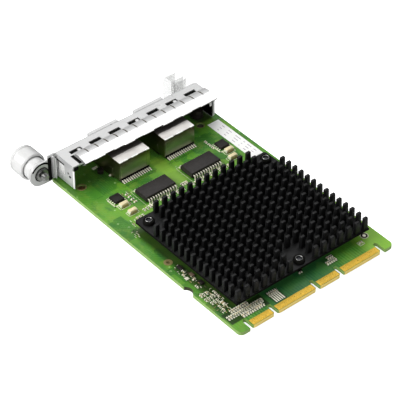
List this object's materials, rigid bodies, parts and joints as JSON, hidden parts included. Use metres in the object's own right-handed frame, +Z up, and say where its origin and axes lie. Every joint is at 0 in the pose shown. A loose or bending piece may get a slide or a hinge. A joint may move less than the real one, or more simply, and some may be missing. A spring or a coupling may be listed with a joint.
{
  "type": "mezzanine network card",
  "caption": "Mezzanine network card for a server: green board with tabbed gold edge connector, black pin heat sink, RJ45 jacks behind a sprung metal bracket, captive thumbscrew and pull tab",
  "frame": {"origin": "middle of the card's outer box, at the faceplate's lower edge", "axes": "+X across the card toward the pull tab, +Y along the card from the edge connector to the faceplate, +Z up from the component side"},
  "size_m": [0.0866, 0.1286, 0.0163],
  "materials": {
    "board_green": "green solder mask over glass-fibre laminate, glossy",
    "black_anodised": "black anodised, satin",
    "bright_steel": "bright plated steel",
    "dark_steel": "dark oxide-finished steel",
    "nickel_sheet": "nickel plated sheet steel, bright",
    "spring_steel": "bright tin plated spring steel",
    "shield_chrome": "bright nickel, mirror like",
    "black_plastic": "black moulded plastic",
    "pale_plastic": "pale translucent plastic strip",
    "package_black": "black moulded chip package",
    "tan_ceramic": "tan ceramic body with plated ends",
    "gold": "gold plated spring contacts",
    "paper_white": "bare white paper label",
    "thermal_grey": "soft grey thermal pad"
  },
  "bodies": {
    "card": {"circuit_board": "board_green", "heatsink": "black_anodised", "controller_chip": "package_black", "thermal_pad": "thermal_grey", "push_pin_left": "dark_steel", "push_pin_right": "dark_steel", "push_pin_front": "dark_steel", "bracket": "nickel_sheet", "bracket_screw_left": "bright_steel", "bracket_screw_right": "bright_steel", "top_spring_strip": "spring_steel", "side_spring_left": "spring_steel", "side_spring_right": "spring_steel", "bottom_spring_strip": "spring_steel", "screw_ferrule": "nickel_sheet", "pull_tab": "pale_plastic", "tab_rivet_upper": "bright_steel", "tab_rivet_lower": "bright_steel", "small_chip_left": "package_black", "small_chip_right": "package_black", "capacitor_left_1": "tan_ceramic", "capacitor_left_2": "tan_ceramic", "capacitor_right_1": "tan_ceramic", "capacitor_right_2": "tan_ceramic", "label": "paper_white", "jack_shield_left": "shield_chrome", "jack_housing_left": "black_plastic", "jack_contacts_left": "gold", "jack_tails_left": "bright_steel", "magnetics_left": "package_black", "jack_shield_right": "shield_chrome", "jack_housing_right": "black_plastic", "jack_contacts_right": "gold", "jack_tails_right": "bright_steel", "magnetics_right": "package_black"},
    "screw_ring": {"retaining_ring": "bright_steel"},
    "knob": {"thumbscrew": "nickel_sheet"}
  },
  "joints": [
    {"name": "screw_press", "type": "slide", "parent": "card", "child": "screw_ring", "axis": [0, -1, 0], "range_m": [0, 0.0044], "stiffness_N_per_m": 250, "springref_m": -0.002},
    {"name": "screw_turn", "type": "hinge", "parent": "screw_ring", "child": "knob", "pos_m": [-0.0373, 0.0499, 0.0077], "axis": [0, -1, 0], "continuous": true}
  ]
}
